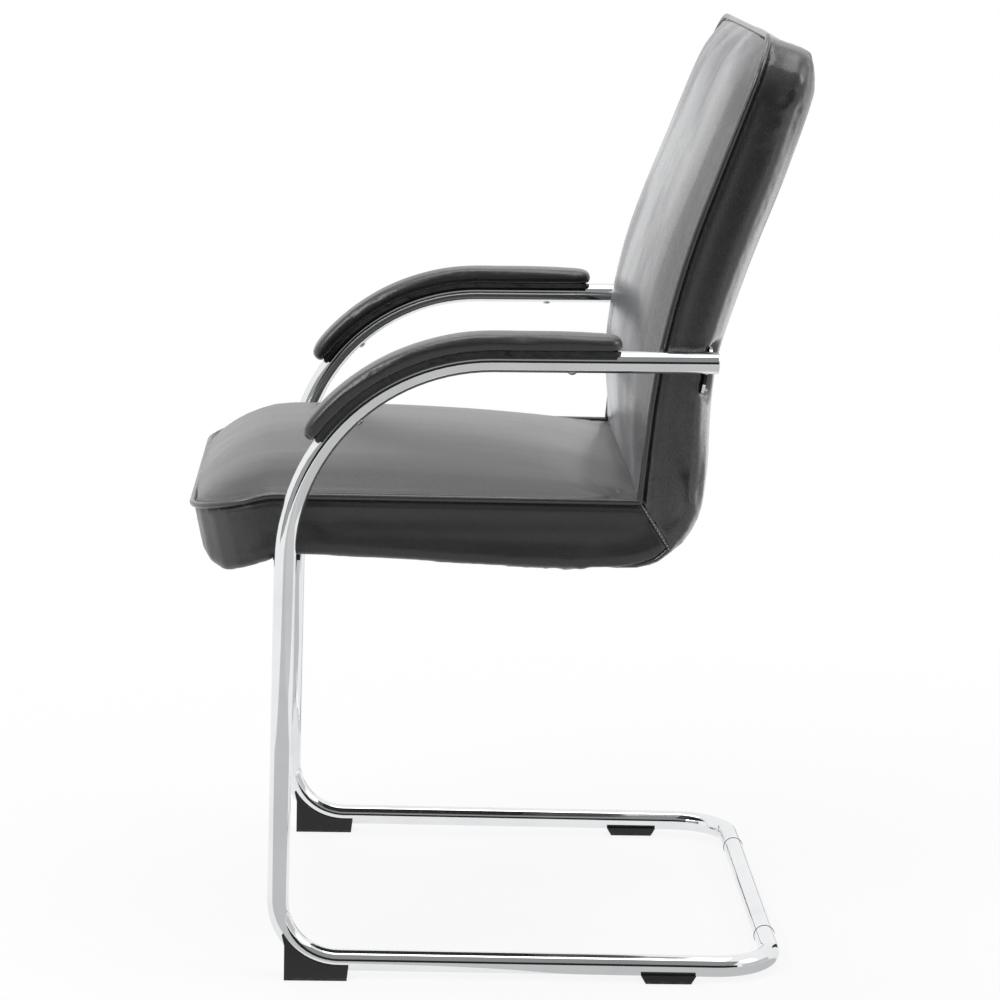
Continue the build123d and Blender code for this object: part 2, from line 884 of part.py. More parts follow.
def seat_mount_bolts():
    """Hexagon bolts that come up through the brackets into the T-nuts."""
    head = extrude(RegularPolygon(seat_bolt_head / 2, 6), amount=-seat_bolt_head_height)
    length = seat_bolt_grip + tnut_flange_thickness + bolt_protrusion
    bolt = head + Cylinder(seat_bolt_diameter / 2, length, align=standing)
    return [Pos(x, y, bracket_top - bracket_steel) * bolt for x, y in seat_bolt_places]


def back_bracket_bolts():
    """Domed bolts that go forward through the brackets into the T-nuts."""
    length = back_bracket_steel + back_bolt_grip + tnut_flange_thickness + bolt_protrusion
    shank = Pos(0, 0, -length) * Cylinder(back_bolt_diameter / 2, length, align=standing)
    head = Rot(180, 0, 0) * dome_head(back_bolt_head, back_bolt_head_height)
    bolt = Pos(0, 0, back_bracket_steel) * (head + shank)
    return [bracket_plane * Pos(x, y, 0) * bolt for x, y in back_bolt_places]


def ply_shell():
    """Bent plywood inside the seat and the back, drilled for its T-nuts."""
    path = ply_path()
    section = Plane(origin=path @ 0, x_dir=(1, 0, 0), z_dir=path % 0)
    shell = sweep(section * Rectangle(ply_width, ply_thickness), path=path)
    seat_drill = Cylinder(seat_bolt_diameter / 2 + tnut_wall, 2 * ply_thickness)
    back_drill = Cylinder(back_bolt_diameter / 2 + tnut_wall, back_bolt_grip + overrun)
    for x, y in seat_bolt_places:
        shell -= Pos(x, y, ply_seat_height) * seat_drill
    for x, y in back_bolt_places:
        shell -= bracket_plane * Pos(x, y, 0) * back_drill
    return shell


def underseat_cover():
    """A thin cover on the underside of the seat's plywood, with holes for the bolts."""
    outline = dust_cover_outline(0)
    cover = Pos(0, 0, bracket_top) * extrude(outline, amount=dust_cover_thickness)
    hole = Cylinder(seat_bolt_diameter / 2 + bolt_clearance, overrun)
    return without(cover, [Pos(x, y, bracket_top) * hole for x, y in seat_bolt_places])


def dust_cover_outline(clearance):
    """Plan outline of the cover under the seat, grown by a clearance."""
    width = body_width - 2 * dust_cover_side + 2 * clearance
    length = dust_cover_rear - dust_cover_front + 2 * clearance
    middle = (dust_cover_rear + dust_cover_front) / 2
    return Pos(0, middle) * RectangleRounded(width, length, dust_cover_corner)


def dust_cover_recess():
    """Cut in the seat's underside that opens it up to the plywood."""
    depth = seat_thickness
    return Pos(0, 0, ply_seat_bottom - depth) * (
        extrude(dust_cover_outline(fit_clearance), amount=depth)
    )


def seat_mount_bracket(x):
    """A plate bolted under the seat, with a saddle welded to the cross tube."""
    plate = Box(bracket_width, bracket_length, bracket_steel)
    bracket = Pos(x, cross_tube_place, bracket_top - bracket_steel / 2) * plate
    saddle_width = tube_diameter + 2 * bracket_steel
    saddle_height = bracket_top - bracket_steel - cross_tube_height
    saddle = Box(bracket_width, saddle_width, saddle_height, align=standing)
    bracket += Pos(x, cross_tube_place, cross_tube_height) * saddle
    tube = Rot(0, 90, 0) * Cylinder(tube_radius, 2 * bracket_width)
    bracket -= Pos(x, cross_tube_place, cross_tube_height) * tube
    hole = Cylinder(seat_bolt_diameter / 2 + bolt_clearance, overrun)
    for y in (-seat_bolt_spacing / 2, seat_bolt_spacing / 2):
        bracket -= Pos(x, cross_tube_place + y, bracket_top) * hole
    return bracket


def back_bracket():
    """A plate behind the back that is welded to the inner side of the arm tube."""
    plate = RectangleRounded(back_bracket_reach, back_bracket_height, back_bracket_rounding)
    middle = back_bracket_inner + back_bracket_reach / 2
    bracket = bracket_plane * Pos(-middle, 0, 0) * extrude(plate, amount=back_bracket_steel)
    hole = Cylinder(back_bolt_diameter / 2 + bolt_clearance, overrun)
    for x, y in back_bolt_places[:2]:
        bracket -= bracket_plane * Pos(x, y, 0) * hole
    end = Plane(origin=frame_corners[0], z_dir=arm_direction)
    return bracket - frame_envelopes[0] - end * Cylinder(tube_radius, cap_thickness + overrun)


def back_bracket_notch():
    """Room for a bracket: a flat cut through the bulge of the rear cover."""
    depth = 2 * rear_crown
    reach = side - back_bracket_inner + back_bracket_margin
    height = back_bracket_height + 2 * back_bracket_margin
    block = Box(reach, height, depth, align=standing)
    return bracket_plane * Pos(-side + reach / 2, 0, 0) * block


# Finished pieces
pad_base = arm_pad_base()
pad_screws = arm_pad_screws()
shell = ply_shell()
nuts_of_seat = seat_t_nuts()
nuts_of_back = back_t_nuts()
bolts_of_seat = seat_mount_bolts()
bolts_of_back = back_bracket_bolts()
bolt_room = Cylinder(back_bolt_diameter / 2 + bolt_clearance, overrun)
bolt_rooms = [bracket_plane * Pos(x, y, 0) * bolt_room for x, y in back_bolt_places]
cover_body = rear_cover_body()
seat_fittings = [shell, seat_piping_bar, dust_cover_recess(), *nuts_of_seat, *bolts_of_seat]
back_fittings = [shell, *nuts_of_back, *bolts_of_back]

pieces = {
    "rear_cross_tube": rear_cross_tube(),
    "rear_joint_spigots": joined(both_sides(rear_spigot())),
    "rear_joint_screws": joined([s for screw in rear_joint_screws() for s in both_sides(screw)]),
    "front_foot_screws": joined(both_sides(Pos(side, foot_screw_place, 0) * foot_screw())),
    "rear_glide_screws": joined(both_sides(Pos(side, glide_screw_place, 0) * foot_screw())),
    "seat_cross_tube": seat_cross_tube(),
    "seat_mount_brackets": joined(both_sides(seat_mount_bracket(bracket_offset))),
    "seat_mount_bolts": joined(bolts_of_seat),
    "seat_t_nuts": joined(nuts_of_seat),
    "back_bracket_bolts": joined(bolts_of_back),
    "back_t_nuts": joined(nuts_of_back),
    "arm_pad_screws": joined([s for screw in pad_screws for s in both_sides(screw)]),
    "ply_shell": shell,
    "seat_cushion": seat_body() - [cover_body, *seat_fittings],
    "back_cushion": back_body() - [cover_body, *back_fittings] - back_piping_bar,
    "rear_cover": cover_body - [*both_sides(back_bracket_notch()), *bolt_rooms],
    "underseat_cover": underseat_cover(),
    "seat_piping": split(seat_piping_bar, bisect_by=mitre_plane, keep=Keep.TOP),
    "back_piping": split(back_piping_bar, bisect_by=mitre_plane, keep=Keep.BOTTOM),
}
sided_pieces = {
    "frame_tube": side_tube(),
    "arm_end_cap": arm_end_cap(),
    "front_foot": front_foot(),
    "rear_glide": rear_glide(),
    "back_bracket": back_bracket(),
    "arm_pad_cushion": arm_pad_cushion([pad_base, *pad_screws]),
    "arm_pad_base": pad_base,
}
for name, shape in sided_pieces.items():
    pieces[f"{name}_left"], pieces[f"{name}_right"] = both_sides(shape)

boxes = [shape.bounding_box() for shape in pieces.values()]
front_end = min(box.min.Y for box in boxes)
rear_end = max(box.max.Y for box in boxes)
to_centre = Pos(0, -(front_end + rear_end) / 2, 0)
print("front", front_end, "rear", rear_end)
for name, shape in pieces.items():
    export_step(to_centre * shape, f"parts/{name}.step")
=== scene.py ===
"""A cantilever visitor chair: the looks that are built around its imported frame."""
from math import atan2, cos, exp, pi, radians, sin

import bmesh
import bpy
from mathutils import Matrix, Vector
from mathutils.bvhtree import BVHTree
from mathutils.kdtree import KDTree


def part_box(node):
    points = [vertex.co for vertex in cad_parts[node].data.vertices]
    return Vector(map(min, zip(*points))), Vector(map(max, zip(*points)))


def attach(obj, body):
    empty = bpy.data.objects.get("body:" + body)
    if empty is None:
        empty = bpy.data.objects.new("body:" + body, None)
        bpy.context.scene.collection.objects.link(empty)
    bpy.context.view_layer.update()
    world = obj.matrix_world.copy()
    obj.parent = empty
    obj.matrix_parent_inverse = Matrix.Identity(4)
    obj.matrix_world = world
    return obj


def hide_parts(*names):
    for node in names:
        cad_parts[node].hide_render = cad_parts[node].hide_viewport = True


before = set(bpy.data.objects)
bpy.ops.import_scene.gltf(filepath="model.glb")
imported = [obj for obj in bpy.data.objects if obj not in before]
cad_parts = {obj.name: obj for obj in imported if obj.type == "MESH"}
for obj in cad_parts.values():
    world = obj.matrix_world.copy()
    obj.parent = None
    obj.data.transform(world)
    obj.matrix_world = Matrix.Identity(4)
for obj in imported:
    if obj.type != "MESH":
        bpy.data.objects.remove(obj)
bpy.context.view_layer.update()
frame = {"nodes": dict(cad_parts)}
nodes = frame["nodes"]


# Camera
# Stands level with the arms' ends on the sitter's left, well back, and looks a little down.
camera_place = Vector((3.72359, -0.13140, 1.14376))
camera_yaw = -0.03767
camera_pitch = 0.1841
camera_roll = 0.0224
lens_length = 126.0
sensor_width = 36.0
view_limit = 60.0

bpy.ops.object.select_all(action="DESELECT")
bpy.ops.object.camera_add()
camera = bpy.context.object
camera.data.lens = lens_length
camera.data.sensor_width = sensor_width
camera.data.clip_end = view_limit
camera.matrix_world = (
    Matrix.Translation(camera_place)
    @ Matrix.Rotation(pi / 2 + camera_yaw, 4, "Z")
    @ Matrix.Rotation(pi / 2 - camera_pitch, 4, "X")
    @ Matrix.Rotation(camera_roll, 4, "Z")
)
bpy.context.scene.camera = camera
bpy.context.scene.view_settings.view_transform = "Standard"


# Studio
# A white floor under even light from large soft boxes. Black and grey flags stand around the
# chair, and grey sheets lie on the floor. Only reflections show them, as in a photograph of
# chrome, where they stay out of the picture.
floor_size = 60.0
floor_colour = (0.84, 0.84, 0.84, 1.0)
floor_whiteness = 0.86
floor_fade = (0.5, 1.5)
ambient_level = 0.42
sheet_gap = 0.001


class Shade:
    """One output of a shader node, with which sums are written as plain expressions."""

    def __init__(self, nodes, socket):
        self.nodes = nodes
        self.socket = socket

    def maths(self, operation, first, second):
        return self.nodes.node("ShaderNodeMath", {"operation": operation}, {0: first, 1: second})

    def __add__(self, other):
        return self.maths("ADD", self, other)

    def __radd__(self, other):
        return self.maths("ADD", other, self)

    def __sub__(self, other):
        return self.maths("SUBTRACT", self, other)

    def __rsub__(self, other):
        return self.maths("SUBTRACT", other, self)

    def __mul__(self, other):
        return self.maths("MULTIPLY", self, other)

    def __rmul__(self, other):
        return self.maths("MULTIPLY", other, self)

    def __or__(self, other):
        return self.maths("MAXIMUM", self, other)


class ShaderNodes:
    """The node tree of a material or of the world."""

    def __init__(self, owner):
        owner.use_nodes = True
        self.tree = owner.node_tree
        self.tree.nodes.clear()

    def node(self, kind, settings=None, inputs=None, output=0):
        """Adds a node, sets it, joins its sockets, and gives one of its outputs."""
        made = self.tree.nodes.new(kind)
        for name, value in (settings or {}).items():
            if name == "stops":
                self.set_stops(made.color_ramp, value)
            else:
                setattr(made, name, value)
        for name, value in (inputs or {}).items():
            if isinstance(value, Shade):
                self.tree.links.new(value.socket, made.inputs[name])
            else:
                made.inputs[name].default_value = value
        return Shade(self, made.outputs[output]) if made.outputs else None

    def set_stops(self, ramp, stops):
        """Gives a colour ramp its stops, each a place and a grey level or a colour."""
        while len(ramp.elements) < len(stops):
            ramp.elements.new(1.0)
        for element, (place, level) in zip(ramp.elements, stops):
            element.position = place
            element.color = level if isinstance(level, tuple) else (level, level, level, 1.0)

    def looked_at(self):
        """1 for rays that come from the camera, a reflection or a clear body, and 0 for light."""
        rays = [
            self.node("ShaderNodeLightPath", output=kind)
            for kind in ("Is Camera Ray", "Is Glossy Ray", "Is Transmission Ray")
        ]
        return rays[0] | rays[1] | rays[2]


def stage_material(name, colour, whiteness, fade):
    """A matt finish that is seen as nearly white, and as plain white away from the middle."""
    material = bpy.data.materials.new(name)
    shading = ShaderNodes(material)
    place = shading.node("ShaderNodeTexCoord", output="Object")
    distance = shading.node("ShaderNodeVectorMath", {"operation": "LENGTH"}, {0: place}, "Value")
    edge = shading.node(
        "ShaderNodeMapRange",
        None,
        {"Value": distance, "From Min": fade[0], "From Max": fade[1], "To Min": whiteness, "To Max": 1.0},
    )
    matt = shading.node("ShaderNodeBsdfDiffuse", inputs={"Color": colour})
    white = shading.node("ShaderNodeEmission", inputs={"Strength": 1.0})
    seen_white = shading.looked_at() * edge
    mixed = shading.node("ShaderNodeMixShader", inputs={0: seen_white, 1: matt, 2: white})
    shading.node("ShaderNodeOutputMaterial", inputs={"Surface": mixed})
    return material


bpy.ops.object.select_all(action="DESELECT")
bpy.ops.mesh.primitive_plane_add(size=floor_size)
floor = bpy.context.object
floor.name = "studio_floor"
floor_finish = stage_material("studio_floor", floor_colour, floor_whiteness, floor_fade)
floor.data.materials.append(floor_finish)

# Each upright flag: its bearing from +X in degrees, distance, width, lowest and highest edge,
# lean and grey
flags = [
    (0.0, 5.2, 9.0, 0.02, 2.30, 0.0, 0.02),
    (0.0, 3.6, 7.0, 2.10, 4.60, 52.0, 0.30),
    (27.0, 3.4, 0.24, 0.01, 1.3, 0.0, 0.02),
    (76.0, 4.8, 5.0, 0.02, 1.9, 0.0, 0.62),
    (-62.0, 4.2, 0.30, 0.02, 1.6, 0.0, 0.08),
    (-46.0, 4.8, 3.4, 0.02, 2.2, 0.0, 0.38),
    (146.0, 4.4, 0.60, 0.02, 1.8, 0.0, 0.03),
    (214.0, 4.4, 0.30, 0.02, 1.8, 0.0, 0.05),
    (180.0, 4.2, 4.6, 0.01, 0.12, 0.0, 0.02),
]
# Each sheet lying on the floor: its middle, its length and width, its bearing and grey
floor_sheets = [
    ((2.38, 0.32), 4.2, 1.9, 14.0, 0.60),
    ((1.75, 2.60), 4.0, 3.0, 60.0, 0.66),
    ((-0.95, 0.60), 1.2, 0.10, 140.0, 0.05),
]


def reflected_card(name, size, place, turn, grey):
    """A flat card that only reflections show."""
    bpy.ops.object.select_all(action="DESELECT")
    bpy.ops.mesh.primitive_plane_add(size=1.0)
    card = bpy.context.object
    card.name = name
    card.scale = (size[0], size[1], 1.0)
    card.location = place
    card.rotation_euler = turn
    card_material = bpy.data.materials.new(name)
    card_nodes = ShaderNodes(card_material)
    glow = card_nodes.node("ShaderNodeEmission", inputs={"Strength": grey})
    card_nodes.node("ShaderNodeOutputMaterial", inputs={"Surface": glow})
    card.data.materials.append(card_material)
    card.visible_camera = False
    card.visible_diffuse = False
    card.visible_shadow = False


for index, (bearing, distance, width, low, high, lean, grey) in enumerate(flags):
    turn = radians(bearing)
    reflected_card(
        f"studio_flag_{index}",
        (width, (high - low) / cos(radians(lean))),
        (distance * cos(turn), distance * sin(turn), (low + high) / 2),
        (pi / 2 - radians(lean), 0, turn + pi / 2),
        grey,
    )
for index, (middle, length, width, bearing, grey) in enumerate(floor_sheets):
    place = (middle[0], middle[1], sheet_gap * (index + 1))
    reflected_card(f"studio_sheet_{index}", (length, width), place, (0, 0, radians(bearing)), grey)

# Each soft box: place, what it points at, width, height, power in watts, and whether
# reflections show it
soft_boxes = [
    ((2.6, -2.4, 3.0), (0.0, 0.0, 0.5), 1.8, 1.8, 62.0, True),
    ((1.0, 3.2, 2.6), (0.0, 0.0, 0.5), 1.6, 1.6, 34.0, True),
    ((-2.8, -1.4, 2.8), (0.0, 0.0, 0.5), 1.6, 1.6, 38.0, False),
    ((0.0, 0.0, 3.6), (0.0, 0.0, 0.0), 2.6, 2.6, 44.0, True),
]
for place, target, width, height, power, reflected in soft_boxes:
    bpy.ops.object.light_add(type="AREA", location=place)
    lamp = bpy.context.object
    lamp.data.shape = "RECTANGLE"
    lamp.data.size = width
    lamp.data.size_y = height
    lamp.data.energy = power
    lamp.visible_glossy = reflected
    lamp.rotation_euler = (Vector(target) - Vector(place)).to_track_quat("-Z", "Y").to_euler()

world = bpy.data.worlds.new("studio")
bpy.context.scene.world = world
sky = ShaderNodes(world)
sky_level = sky.looked_at() * (1.0 - ambient_level) + ambient_level
sky_light = sky.node(
    "ShaderNodeBackground",
    inputs={"Color": (1.0, 1.0, 1.0, 1.0), "Strength": sky_level},
)
sky.node("ShaderNodeOutputWorld", inputs={"Surface": sky_light})


# Chrome frame
# Two bent side tubes, the cross tube behind them, the end caps and the welded back brackets.
# The steel is polished and plated with bright chrome, which has only the faintest haze.
chrome_colour = (0.83, 0.84, 0.85, 1.0)
chrome_worn_colour = (0.74, 0.75, 0.77, 1.0)
chrome_haze = (0.035, 0.075)
chrome_scratch = 0.012
chrome_smooth_angle = 35.0
merge_distance = 0.000005
chrome_pieces = [
    "frame_tube_left",
    "frame_tube_right",
    "rear_cross_tube",
    "arm_end_cap_left",
    "arm_end_cap_right",
    "back_bracket_left",
    "back_bracket_right",
]


class Finish(ShaderNodes):
    """A material whose surface is one Principled shader."""

    def __init__(self, name, colour, roughness, **constants):
        self.material = bpy.data.materials.new(name)
        super().__init__(self.material)
        self.shader = self.tree.nodes.new("ShaderNodeBsdfPrincipled")
        self.shader.inputs["Base Color"].default_value = colour
        self.shader.inputs["Roughness"].default_value = roughness
        for socket, value in constants.items():
            self.shader.inputs[socket.replace("_", " ")].default_value = value
        result = self.tree.nodes.new("ShaderNodeOutputMaterial")
        self.tree.links.new(self.shader.outputs[0], result.inputs["Surface"])
        self.place = self.node("ShaderNodeTexCoord", output="Object")

    def feed(self, socket, shade):
        """Joins a varying value to a socket of the shader."""
        self.tree.links.new(shade.socket, self.shader.inputs[socket])

    def stretched(self, scale, turn=(0.0, 0.0, 0.0)):
        """The place on the object, turned, then scaled by each axis."""
        return self.node(
            "ShaderNodeMapping",
            {"vector_type": "POINT"},
            {"Vector": self.place, "Rotation": turn, "Scale": scale},
        )

    def noise(self, scale, detail=3.0, place=None, roughness=0.5):
        """Cloudy noise between about 0 and 1."""
        return self.node(
            "ShaderNodeTexNoise",
            None,
            {
                "Vector": place or self.place,
                "Scale": scale,
                "Detail": detail,
                "Roughness": roughness,
            },
        )

    def cells(self, scale, feature="F1", place=None):
        """Distance within a pattern of cells."""
        return self.node(
            "ShaderNodeTexVoronoi",
            {"feature": feature},
            {"Vector": place or self.place, "Scale": scale},
            "Distance",
        )

    def ramp(self, shade, stops):
        """The value read through a ramp."""
        return self.node("ShaderNodeValToRGB", {"stops": stops}, {"Fac": shade})

    def blend(self, share, first, second):
        """A colour between two colours."""
        return self.node("ShaderNodeMix", {"data_type": "RGBA"}, {0: share, 6: first, 7: second}, 2)

    def relief(self, height, depth, before=None):
        """A bump of the given depth in metres, on top of one before it."""
        inputs = {"Height": height, "Distance": depth, "Strength": 1.0}
        if before:
            inputs["Normal"] = before
        return self.node("ShaderNodeBump", None, inputs)


chrome = Finish("frame_chrome", chrome_colour, chrome_haze[0], Metallic=1.0)
haze = chrome.noise(14.0, 4.0)
scratches = chrome.noise(240.0, 2.0, chrome.stretched((1.0, 1.0, 0.08)))
worn_places = chrome.ramp(haze, [(0.45, 0.0), (0.8, 1.0)])
hazy = haze * (chrome_haze[1] - chrome_haze[0]) + chrome_haze[0]
chrome.feed("Base Color", chrome.blend(worn_places, chrome_colour, chrome_worn_colour))
chrome.feed("Roughness", hazy + scratches * chrome_scratch)


def alone(piece):
    """Selects one piece and nothing else."""
    bpy.ops.object.select_all(action="DESELECT")
    piece.select_set(True)
    bpy.context.view_layer.objects.active = piece


def merged_copy(node, name, material):
    """A copy of a CAD node's mesh, with its loose triangles joined and its edges kept."""
    piece = bpy.data.objects.new(name, nodes[node].data.copy())
    bpy.context.scene.collection.objects.link(piece)
    piece.data.name = name
    piece.data.materials.clear()
    piece.data.materials.append(material)
    alone(piece)
    if piece.data.has_custom_normals:
        bpy.ops.mesh.customdata_custom_splitnormals_clear()
    bpy.ops.object.mode_set(mode="EDIT")
    bpy.ops.mesh.select_all(action="SELECT")
    bpy.ops.mesh.remove_doubles(threshold=merge_distance)
    bpy.ops.object.mode_set(mode="OBJECT")
    return piece


def smooth(piece, angle):
    """Shades a piece smooth, apart from edges sharper than the angle in degrees."""
    alone(piece)
    bpy.ops.object.shade_smooth_by_angle(angle=radians(angle))


for node in chrome_pieces:
    tube = merged_copy(node, f"{node}_chrome", chrome.material)
    smooth(tube, chrome_smooth_angle)
    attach(tube, "root")
    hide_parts(node)


# Rear tube seams
# The cross tube is pushed onto spigots in the two side tubes. Each joint is a fine groove whose shade is
# painted as a thin dark ring.
seam_line_radius = 0.0004
# The ring's colours are painted shade of the groove, dark with a faint mottle.
seam_shade_colour = (0.012, 0.012, 0.012, 1.0)
seam_shade_pale_colour = (0.05, 0.05, 0.05, 1.0)

# A finish of painted shade for the rings in the joint grooves.
seam_groove_shade = Finish("seam_groove_shade", seam_shade_colour, 0.7)
shade_mottle = seam_groove_shade.noise(500.0, 3.0)
seam_groove_shade.feed("Base Color", seam_groove_shade.blend(shade_mottle, seam_shade_colour, seam_shade_pale_colour))
seam_groove_shade.feed("Roughness", shade_mottle * 0.3 + 0.5)
tube_low, tube_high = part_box("rear_cross_tube")
tube_radius = (tube_high[2] - tube_low[2]) / 2
tube_y = (tube_low[1] + tube_high[1]) / 2
tube_z = (tube_low[2] + tube_high[2]) / 2
for side, joint_x in (("right", tube_low[0]), ("left", tube_high[0])):
    bpy.ops.object.select_all(action="DESELECT")
    bpy.ops.mesh.primitive_torus_add(
        major_segments=64,
        minor_segments=8,
        major_radius=tube_radius,
        minor_radius=seam_line_radius,
        location=(joint_x, tube_y, tube_z),
        rotation=(0.0, pi / 2, 0.0),
    )
    ring = bpy.context.object
    ring.name = f"rear_tube_seam_shade_{side}"
    ring.data.name = ring.name
    bpy.ops.object.transform_apply(location=True, rotation=True, scale=True)
    bpy.ops.object.shade_smooth()
    ring.data.materials.append(seam_groove_shade.material)
    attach(ring, "root")


# Hidden steel
# The cross tube and brackets under the seat are black painted steel. The spigots, bolts,
# screws and T-nuts are zinc plated, with a slightly cloudy surface.
steel_mottle = 0.18
steel_dark_share = 0.7
steel_peel_depth = 0.00004


def finished(node, material):
    """Gives a CAD node's own mesh its material."""
    nodes[node].data.materials.clear()
    nodes[node].data.materials.append(material)


for name, colour, roughness, metallic, members in [
    ("support_steel", (0.028, 0.028, 0.03, 1.0), 0.45, 0.0, ["seat_cross_tube", "seat_mount_brackets"]),
    (
        "fastener_steel",
        (0.60, 0.61, 0.62, 1.0),
        0.28,
        1.0,
        [
            "rear_joint_spigots",
            "rear_joint_screws",
            "front_foot_screws",
            "rear_glide_screws",
            "seat_mount_bolts",
            "seat_t_nuts",
            "back_bracket_bolts",
            "back_t_nuts",
            "arm_pad_screws",
        ],
    ),
]:
    steel = Finish(name, colour, roughness, Metallic=metallic)
    mottle = steel.noise(60.0, 5.0)
    orange_peel = steel.noise(900.0, 2.0)
    darker = tuple(steel_dark_share * part for part in colour[:3]) + (1.0,)
    steel.feed("Base Color", steel.blend(mottle, darker, colour))
    steel.feed("Roughness", mottle * steel_mottle + (roughness - steel_mottle / 2))
    steel.feed("Normal", steel.relief(orange_peel, steel_peel_depth))
    for member in members:
        finished(member, steel.material)


# Feet and glides
# Matt black moulded plastic saddles, with a fine spark-eroded texture from the mould and
# paler scuffs where they rub on the floor.
foot_colour = (0.0065, 0.0065, 0.007, 1.0)
foot_scuff_colour = (0.045, 0.045, 0.046, 1.0)
foot_scuff_height = 0.004
foot_spark_depth = 0.00012

plastic = Finish("foot_plastic", foot_colour, 0.55)
height = plastic.node("ShaderNodeSeparateXYZ", None, {"Vector": plastic.place}, "Z")
near_floor = plastic.node(
    "ShaderNodeMapRange",
    None,
    {"Value": height, "From Min": 0.0, "From Max": foot_scuff_height, "To Min": 1.0, "To Max": 0.0},
)
scuffs = plastic.ramp(plastic.noise(220.0, 4.0), [(0.42, 0.0), (0.62, 1.0)])
plastic.feed("Base Color", plastic.blend(near_floor * scuffs, foot_colour, foot_scuff_colour))
plastic.feed("Roughness", plastic.noise(40.0) * 0.16 + 0.47)
plastic.feed("Normal", plastic.relief(plastic.noise(1400.0, 2.0), foot_spark_depth))
for node in ("front_foot_left", "front_foot_right", "rear_glide_left", "rear_glide_right"):
    finished(node, plastic.material)


# Arm pad bases
# Glossy black moulded strips between the tube and the pad, a little uneven from the mould.
base_colour = (0.008, 0.008, 0.009, 1.0)
base_wave_depth = 0.0006

gloss = Finish("pad_base_plastic", base_colour, 0.12)
gloss.feed("Roughness", gloss.noise(30.0, 4.0) * 0.16 + 0.06)
gloss.feed("Normal", gloss.relief(gloss.noise(45.0, 2.0), base_wave_depth))
for node in ("arm_pad_base_left", "arm_pad_base_right"):
    finished(node, gloss.material)


# Plywood shell
# Bent birch plywood inside the seat and back, with its grain across the chair.
birch_dark_colour = (0.46, 0.31, 0.18, 1.0)
birch_pale_colour = (0.70, 0.54, 0.36, 1.0)
birch_grain_depth = 0.0002

birch = Finish("plywood", birch_pale_colour, 0.6)
ply_grain = birch.noise(90.0, 5.0, birch.stretched((1.0, 0.06, 0.06)))
birch.feed("Base Color", birch.blend(ply_grain, birch_dark_colour, birch_pale_colour))
birch.feed("Normal", birch.relief(ply_grain, birch_grain_depth))
finished("ply_shell", birch.material)


# Leather of the chair
# Black coated leather with a fine pebbled grain. Its finish lies in faint streaks along the hide, and is
# duller in blotches where it has been handled. Its colour is painted lighter in the streaks and blotches
# as painted sheen, and mottled by the grain.
pebble_depth = 0.00024
crease_depth = 0.00007
pebble_turn = (0.6, 0.0, 0.0)
crease_turn = (0.7, 0.0, 0.0)


def leather(
    name, colour, sheened_colour, roughness, coat, dulling, streak_scale, streak_depth, sheen, tint
):
    """A black leather finish, with blotches and streaks that are stretched by the given scale."""
    hide = Finish(
        name,
        colour,
        roughness,
        IOR=1.55,
        Coat_IOR=1.6,
        Coat_Roughness=0.24,
        Sheen_Weight=sheen,
        Sheen_Roughness=0.35,
        Sheen_Tint=tint,
    )
    blotches = hide.noise(8.0, 4.0, hide.stretched(streak_scale))
    patches = hide.ramp(blotches, [(0.46, 0.0), (0.60, 1.0)])
    streaks = hide.noise(26.0, 4.0, hide.stretched(streak_scale))
    pebbles = hide.cells(620.0, "SMOOTH_F1", hide.stretched((1.0, 1.0, 0.7), pebble_turn))
    pores = hide.noise(1500.0, 2.0)
    grain = hide.noise(430.0, 2.0, hide.stretched((1.0, 1.0, 0.6)), 0.7)
    cracks = hide.cells(260.0, "DISTANCE_TO_EDGE", hide.stretched((1.0, 1.0, 0.55), crease_turn))
    creases = hide.ramp(cracks, [(0.0, 0.0), (0.12, 1.0)])

    # Painted sheen: the colour is lighter in the streaks and blotches, and mottled by the pebbled grain.
    grain_and_painted_sheen = patches * 0.3 + streaks * 0.3 + pebbles * 0.6
    dulled = patches * dulling
    uneven = pebbles * 0.10 + (roughness - 0.06) + dulled * 0.2 + streaks * 0.06
    hide.feed("Base Color", hide.blend(grain_and_painted_sheen, colour, sheened_colour))
    hide.feed("Roughness", uneven)
    hide.feed("Coat Weight", (1.0 - dulled) * (grain * 1.5 + 0.25) * coat)

    waves = hide.noise(16.0, 3.0, hide.stretched(streak_scale))
    soft = hide.relief(waves, streak_depth)
    fine = hide.relief(pebbles * 0.5 + pores * 0.2 + grain * 0.3, pebble_depth, soft)
    hide.feed("Normal", hide.relief(creases, crease_depth, fine))
    return hide.material


seat_leather = leather(
    "seat_leather",
    colour=(0.007, 0.007, 0.0075, 1.0),
    sheened_colour=(0.014, 0.014, 0.014, 1.0),
    roughness=0.38,
    coat=0.45,
    dulling=0.25,
    streak_scale=(1.0, 0.25, 0.6),
    streak_depth=0.0008,
    sheen=0.32,
    tint=(1.0, 0.97, 0.95, 1.0),
)
back_leather = leather(
    "back_leather",
    colour=(0.007, 0.007, 0.0085, 1.0),
    sheened_colour=(0.013, 0.013, 0.015, 1.0),
    roughness=0.30,
    coat=1.0,
    dulling=0.5,
    streak_scale=(0.8, 1.0, 0.35),
    streak_depth=0.0011,
    sheen=0.15,
    tint=(0.84, 0.88, 1.0, 1.0),
)
pad_leather = leather(
    "pad_leather",
    colour=(0.006, 0.006, 0.0065, 1.0),
    sheened_colour=(0.011, 0.011, 0.011, 1.0),
    roughness=0.40,
    coat=0.5,
    dulling=0.2,
    streak_scale=(1.0, 1.0, 1.0),
    streak_depth=0.0004,
    sheen=0.12,
    tint=(1.0, 0.98, 0.97, 1.0),
)
piping_leather = leather(
    "piping_leather",
    colour=(0.007, 0.007, 0.008, 1.0),
    sheened_colour=(0.014, 0.014, 0.016, 1.0),
    roughness=0.32,
    coat=0.8,
    dulling=0.2,
    streak_scale=(1.0, 1.0, 1.0),
    streak_depth=0.0004,
    sheen=0.10,
    tint=(1.0, 0.98, 0.98, 1.0),
)


# Piping
# A cord wrapped in leather that is sewn into the seam round three sides of the seat and of
# the back.
piping_smooth_angle = 60.0

